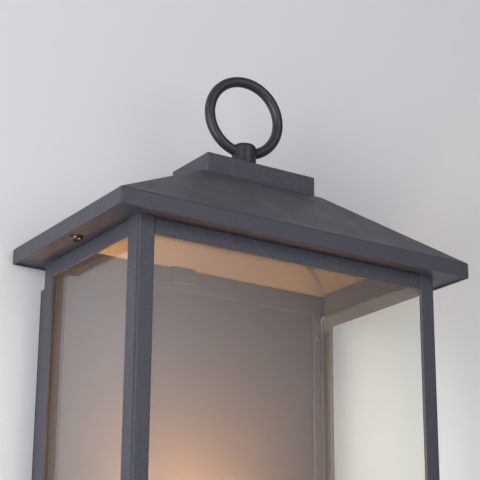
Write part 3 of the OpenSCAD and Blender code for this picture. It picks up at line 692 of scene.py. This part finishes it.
class LANTERN_OT_posts(bpy.types.Operator):
    """Corner posts: an angle section with a groove between two rounded lips"""
    bl_idname = "lantern.posts"
    bl_label = "Posts"
    bl_options = {"REGISTER", "UNDO"}

    def execute(self, context):
        s = context.scene.lantern_sizes
        wall, groove = s.post_wall, s.groove
        web = 2 * groove + 0.6 * MM
        edge, root, crest = 0.4 * MM, 0.2 * MM, 0.3 * MM
        for name in ("front_left_post", "front_right_post", "rear_left_post", "rear_right_post"):
            low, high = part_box(name)
            leg = high.x - low.x
            left, front = middle(name)[0] < 0, name.startswith("front")
            outline = rounded_outline([
                (groove, 0, s.lip),
                (leg, 0, edge),
                (leg, wall, edge),
                (web, wall, root),
                (web, web, crest),
                (wall, web, root),
                (wall, leg, edge),
                (0, leg, edge),
                (0, groove, s.lip),
                (groove, groove, 0.25 * MM),
            ])
            x = low.x if left else high.x
            y = low.y if front else high.y
            across = (1 if left else -1, 0, 0)
            inwards = (0, 1 if front else -1, 0)
            extrusion(name + "_skin", outline, (x, y, low.z), (x, y, high.z), across, inwards,
                      "lantern", "black_paint", (name,))
        return {"FINISHED"}


class LANTERN_OT_rails(bpy.types.Operator):
    """Rails between the posts: a strip with one long edge folded inwards"""
    bl_idname = "lantern.rails"
    bl_label = "Rails"
    bl_options = {"REGISTER", "UNDO"}

    def execute(self, context):
        s = context.scene.lantern_sizes
        t = sheet_thickness()
        for place in ("top", "bottom"):
            for side in ("front", "left", "right"):
                name = side + "_" + place + "_rail"
                low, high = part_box(name)
                fold_z, from_fold = (high.z, -1) if place == "top" else (low.z, 1)
                start, end = (low.x, low.y, fold_z), (low.x, high.y, fold_z)
                inwards, lip = (1, 0, 0), high.x - low.x
                if side == "front":
                    end = (high.x, low.y, fold_z)
                    inwards, lip = (0, 1, 0), high.y - low.y
                elif side == "right":
                    start, end = (high.x, low.y, fold_z), (high.x, high.y, fold_z)
                    inwards = (-1, 0, 0)
                tall = high.z - low.z
                outline = rounded_outline([
                    (0, 0, s.rail_fold),
                    (lip, 0, 0.3 * MM),
                    (lip, t, 0.3 * MM),
                    (t, t, 0.2 * MM),
                    (t, tall, 0.35 * MM),
                    (0, tall, 0.35 * MM),
                ], steps=6)
                extrusion(name + "_skin", outline, start, end, inwards, (0, 0, from_fold),
                          "lantern", "black_paint", (name,))
        return {"FINISHED"}


class LANTERN_OT_panes(bpy.types.Operator):
    """Float glass panes with rounded corners and ground edges"""
    bl_idname = "lantern.panes"
    bl_label = "Panes"
    bl_options = {"REGISTER", "UNDO"}

    def execute(self, context):
        s = context.scene.lantern_sizes
        e = s.arris
        # rings through the thickness: the ground edge leans in most at the face
        inset = np.array([e, 0.55 * e, 0, 0, 0.55 * e, e])
        depth_in = np.array([0, 0.15 * e, e])
        for name in ("front_glass", "left_glass", "right_glass"):
            low, high = (np.array(v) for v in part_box(name))
            wide = 0 if name == "front_glass" else 1
            deep = 1 - wide
            centre = (low + high) / 2
            half = (high - low) / 2
            depth = np.concatenate([depth_in - half[deep], half[deep] - depth_in[::-1]])
            u, v = rectangle_rows(half[wide] - inset, half[2] - inset, s.pane_corner - inset, steps=8)
            points = np.zeros((*u.shape, 3))
            points[..., wide] = centre[wide] + u
            points[..., 2] = centre[2] + v
            points[..., deep] = centre[deep] + depth[:, None]
            rows, n = u.shape
            faces = grid_quads(rows, n, close_cols=True).tolist()
            faces += [list(range(n)), list(range((rows - 1) * n, rows * n))]
            make_piece(name + "_pane", points, faces, "lantern", "pane_glass", (name,), smooth=False)
        return {"FINISHED"}


class LANTERN_OT_sheet_parts(bpy.types.Operator):
    """Soffit frame, trays, pan, panels, bracket and terminal block with rounded edges"""
    bl_idname = "lantern.sheet_parts"
    bl_label = "Sheet parts"
    bl_options = {"REGISTER", "UNDO"}

    def execute(self, context):
        edge = 0.3 * MM
        for node in ("top_frame", "latch_tab", "back_panel", "wall_pan", "base_tray", "base_cover"):
            softened_copy(node, edge, "black_paint")
        softened_copy("wall_bracket", 0.25 * MM, "bright_steel")
        softened_copy("terminal_block", edge, "terminal_plastic")
        return {"FINISHED"}


class LANTERN_OT_lamp_cap(bpy.types.Operator):
    """Lamp cap: a turned shell with a rolled thread"""
    bl_idname = "lantern.lamp_cap"
    bl_label = "Lamp cap"
    bl_options = {"REGISTER", "UNDO"}

    def execute(self, context):
        s = context.scene.lantern_sizes
        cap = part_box("bulb_cap")
        r = (cap[1].x - cap[0].x) / 2
        low, high = cap[0].z, cap[1].z
        rows, wall = 90, 0.9 * MM
        z = np.linspace(low, high, rows)
        outer = np.stack([np.full(rows, r - s.thread_depth / 2), z], 1)
        inner = np.array([[r - wall, high], [r - wall, low]])
        profile = np.concatenate([outer, inner, outer[:1]])
        # the thread leaves a plain band at each end and fades in over a short rise
        foot, head, rise = 1 * MM, 3 * MM, 2 * MM
        fade = np.clip(np.minimum(z - low - foot, high - head - z) / rise, 0, 1)
        weight = np.concatenate([fade, [0, 0], fade[:1]])[:, None]

        def thread(turn, height):
            wave = np.sin(turn - 2 * math.pi * (height - low) / s.thread_pitch)
            return weight * s.thread_depth / 2 * wave

        turning("lamp_cap", profile, (0, middle("bulb_cap")[1], 0), "bulb", "lamp_cap",
                ("bulb_cap",), ripple=thread)
        return {"FINISHED"}


class LANTERN_OT_lamp_glass(bpy.types.Operator):
    """Blown envelope of the lamp: a neck, a flare on a cubic curve and a round crown"""
    bl_idname = "lantern.lamp_glass"
    bl_label = "Lamp glass"
    bl_options = {"REGISTER", "UNDO"}

    def execute(self, context):
        low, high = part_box("bulb_glass")
        big, neck = (high.x - low.x) / 2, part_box("bulb_tip")[1].x
        dome = high.z - big
        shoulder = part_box("bulb_cap")[1].z + 2 * MM
        # the curve leaves the neck and meets the dome upright
        p, q = np.array([neck, shoulder]), np.array([big, dome])
        leave = np.array([neck, shoulder + (dome - shoulder) * 0.4])
        meet = np.array([big, shoulder + (dome - shoulder) * 0.52])
        t = np.linspace(0, 1, 28)[:, None]
        flare = (p * (1 - t) ** 3 + leave * 3 * t * (1 - t) ** 2
                 + meet * 3 * t ** 2 * (1 - t) + q * t ** 3)
        near_pole = math.pi / 2 - 0.01
        a = np.linspace(0, near_pole, 24)[1:, None]
        crown = np.concatenate([big * np.cos(a), dome + big * np.sin(a)], 1)
        outer = np.concatenate([[[neck, low.z]], flare, crown])
        wall, least = 0.7 * MM, 0.2 * MM
        inner = outer[::-1].copy()
        inner[:, 0] = np.maximum(inner[:, 0] - wall, least)
        inner[:, 1] -= np.where(inner[:, 1] > dome, wall * (inner[:, 1] - dome) / big, 0)
        profile = np.concatenate([outer, inner, outer[:1]])
        turning("lamp_envelope", profile, (0, middle("bulb_cap")[1], 0), "bulb", "lamp_glass",
                ("bulb_glass",))
        return {"FINISHED"}


class LANTERN_OT_holder(bpy.types.Operator):
    """Glazed lamp holder: a turned body with a foot, a waist and a head round its socket"""
    bl_idname = "lantern.holder"
    bl_label = "Lamp holder"
    bl_options = {"REGISTER", "UNDO"}

    def execute(self, context):
        low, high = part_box("holder_body")
        r = (high.x - low.x) / 2
        waist, socket, tube = r - 2 * MM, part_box("holder_shell")[1].x, 5 * MM
        foot_top, waist_start = low.z + 14 * MM, low.z + 17 * MM
        waist_end, head_start = high.z - 8 * MM, high.z - 6 * MM
        floor = low.z + 24 * MM
        path = rounded_outline([
            (tube, low.z, 0),
            (r, low.z, 0.8 * MM),
            (r, foot_top, 1.5 * MM),
            (waist, waist_start, 1.5 * MM),
            (waist, waist_end, 1.5 * MM),
            (r, head_start, 1.2 * MM),
            (r, high.z, 1.2 * MM),
            (socket, high.z, 0.8 * MM),
            (socket, floor, 0.3 * MM),
            (tube, floor, 0),
        ], steps=5)
        turning("holder", np.concatenate([path, path[:1]]), (0, middle("holder_body")[1], 0),
                "lantern", "porcelain", ("holder_body",))
        return {"FINISHED"}


# ---------------------------------------------------------------- studio

def flat_sheet(name, corner, along, up, material):
    """A flat rectangle of the stage from one corner, as a coarse grid."""
    corner, along, up = (np.asarray(v, float) for v in (corner, along, up))
    u, v = np.meshgrid(np.linspace(0, 1, 5), np.linspace(0, 1, 5), indexing="ij")
    points = corner + u[..., None] * along + v[..., None] * up
    mesh = bpy.data.meshes.new(name)
    mesh.from_pydata(points.reshape(-1, 3).tolist(), [], grid_quads(5, 5).tolist())
    mesh.materials.append(material)
    if np.cross(along, up) @ mesh.polygons[0].normal < 0:
        mesh.flip_normals()
    piece = bpy.data.objects.new(name, mesh)
    bpy.context.scene.collection.objects.link(piece)
    return piece


def white_card(name, corner, along, up, strength):
    """A soft white panel in full strength over its first third, which fades out by two thirds.
    The camera doesn't see it, and the glass does."""
    material, tree, out, place = new_finish(name)
    across = shader_node(tree, "ShaderNodeSeparateXYZ", {"Vector": place}).outputs["X"]
    fade = spread(tree, across, corner[0] + 0.33 * along[0], corner[0] + 0.65 * along[0],
                  strength, 0.0)
    glow = shader_node(tree, "ShaderNodeEmission", {"Strength": fade})
    tree.links.new(glow.outputs[0], out.inputs[0])
    flat_sheet(name, corner, along, up, material).visible_camera = False


def new_light(name, kind, energy, tint, placement):
    """A light of one of Blender's kinds, in its place. Returns its settings."""
    data = bpy.data.lights.new(name, kind)
    data.energy = energy
    data.color = tint
    lamp = bpy.data.objects.new(name, data)
    lamp.matrix_world = placement
    bpy.context.scene.collection.objects.link(lamp)
    return data


def soft_light(name, place, target, size, energy, tint):
    """A rectangular light that looks from its place at the target."""
    place, target = np.array(place), np.array(target)
    back = (place - target) / np.linalg.norm(place - target)
    data = new_light(name, "AREA", energy, tint, facing(place, back))
    data.shape = "RECTANGLE"
    data.size, data.size_y = size


def lamp_light(place, studio, tint):
    """The lamp's own light: a little all round, and a soft cone up and towards the wall."""
    glow = new_light("lamp_glow", "POINT", studio.lamp_glow, tint, Matrix.Translation(place))
    glow.shadow_soft_size = 12 * MM
    up_and_back = np.array([0.0, 0.6, 0.8])
    throw = new_light("lamp_throw", "SPOT", studio.lamp_throw, tint, facing(place, -up_and_back))
    throw.spot_size, throw.spot_blend = math.radians(120), 0.9
    throw.shadow_soft_size = 27 * MM


def even_air(strength):
    """Dim light from all round."""
    world = bpy.data.worlds.new("studio_air")
    world.use_nodes = True
    air = world.node_tree.nodes["Background"]
    air.inputs[0].default_value = (0.80, 0.82, 0.85, 1)
    air.inputs[1].default_value = strength
    bpy.context.scene.world = world


def camera(studio):
    """The line of sight is turned from +Y towards +X by yaw and up by pitch; roll turns
    the view about it."""
    yaw, pitch, roll = studio.yaw, studio.pitch, studio.roll
    ahead = np.array([math.sin(yaw) * math.cos(pitch), math.cos(yaw) * math.cos(pitch),
                      math.sin(pitch)])
    level = np.array([math.cos(yaw), -math.sin(yaw), 0])
    right = level * math.cos(roll) + np.cross(level, ahead) * math.sin(roll)
    data = bpy.data.cameras.new("camera")
    data.lens = studio.lens
    data.sensor_width = 36
    data.clip_start, data.clip_end = 0.01, 50
    made = bpy.data.objects.new("camera", data)
    made.matrix_world = placement_of(right, np.cross(right, ahead), -ahead, studio.place)
    bpy.context.scene.collection.objects.link(made)
    bpy.context.scene.camera = made


def placement_of(x_axis, y_axis, z_axis, place):
    """Matrix with the three axes and the place as its columns."""
    matrix = np.eye(4)
    matrix[:3] = np.stack([x_axis, y_axis, z_axis, np.array(place)], 1)
    return Matrix(matrix.tolist())


def facing(place, back):
    """Placement whose -Z looks away from back, with +Y as near upright as it can be."""
    side = np.cross((0, 0, 1), back)
    side = side / np.linalg.norm(side)
    return placement_of(side, np.cross(back, side), back, place)


class LANTERN_OT_studio(bpy.types.Operator):
    """Pale wall and floor, soft lights, the lamp's light and the camera"""
    bl_idname = "lantern.studio"
    bl_label = "Studio"
    bl_options = {"REGISTER", "UNDO"}

    def execute(self, context):
        studio = context.scene.lantern_studio
        colours = context.scene.lantern_colours
        left, width, floor, height, reach = -1.4, 3.4, -1.5, 3.0, 3.2
        behind = 0.5 * MM
        pale = one_sided("studio_wall", tuple(colours.wall))
        flat_sheet("studio_backdrop", (left, behind, floor), (width, 0, 0), (0, 0, height), pale)
        flat_sheet("studio_floor", (left, -reach, floor), (width, 0, 0), (0, reach, 0), pale)
        even_air(studio.air)
        soft_light("window", place=(-2.0, -1.15, -0.2), target=(0, -0.07, 0.1), size=(1.3, 1.9),
                   energy=studio.window, tint=(0.97, 0.98, 1.0))
        white_card("front_card", corner=(-0.4, -2.3, -0.3), along=(2.3, 1.2, 0), up=(0, 0, 1.65),
                   strength=studio.card)
        soft_light("back_fill", place=(0.9, 1.7, 0.6), target=(0, -0.05, 0.05), size=(1.2, 1.2),
                   energy=studio.back_fill, tint=(0.98, 0.99, 1.0))
        lamp_light(middle("bulb_filaments"), studio, tuple(colours.glow))
        camera(studio)
        context.scene.view_settings.view_transform = "Standard"
        return {"FINISHED"}


# ---------------------------------------------------------------- panel and registration

STEPS = (LANTERN_OT_finishes, LANTERN_OT_roof, LANTERN_OT_cap_block, LANTERN_OT_loop,
         LANTERN_OT_boss, LANTERN_OT_posts, LANTERN_OT_rails, LANTERN_OT_panes,
         LANTERN_OT_sheet_parts, LANTERN_OT_lamp_cap, LANTERN_OT_lamp_glass, LANTERN_OT_holder,
         LANTERN_OT_studio)
GROUPS = {"lantern_sizes": LanternSizes, "lantern_colours": LanternColours,
          "lantern_studio": StudioSettings}


class LANTERN_PT_panel(bpy.types.Panel):
    """Lists the lantern's steps and settings"""
    bl_idname = "LANTERN_PT_panel"
    bl_label = "Lantern"
    bl_space_type = "VIEW_3D"
    bl_region_type = "UI"
    bl_category = "Lantern"

    def draw(self, context):
        for step in STEPS:
            self.layout.operator(step.bl_idname)
        for name, group in GROUPS.items():
            for key in group.__annotations__:
                self.layout.prop(getattr(context.scene, name), key)


CLASSES = (*GROUPS.values(), *STEPS, LANTERN_PT_panel)


def register():
    for item in CLASSES:
        bpy.utils.register_class(item)
    for name, group in GROUPS.items():
        setattr(bpy.types.Scene, name, bpy.props.PointerProperty(type=group))


def unregister():
    for name in GROUPS:
        delattr(bpy.types.Scene, name)
    for item in reversed(CLASSES):
        bpy.utils.unregister_class(item)


def main():
    """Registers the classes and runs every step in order."""
    register()
    for step in STEPS:
        getattr(bpy.ops.lantern, step.bl_idname.split(".")[1])()


if __name__ == "__main__":
    main()
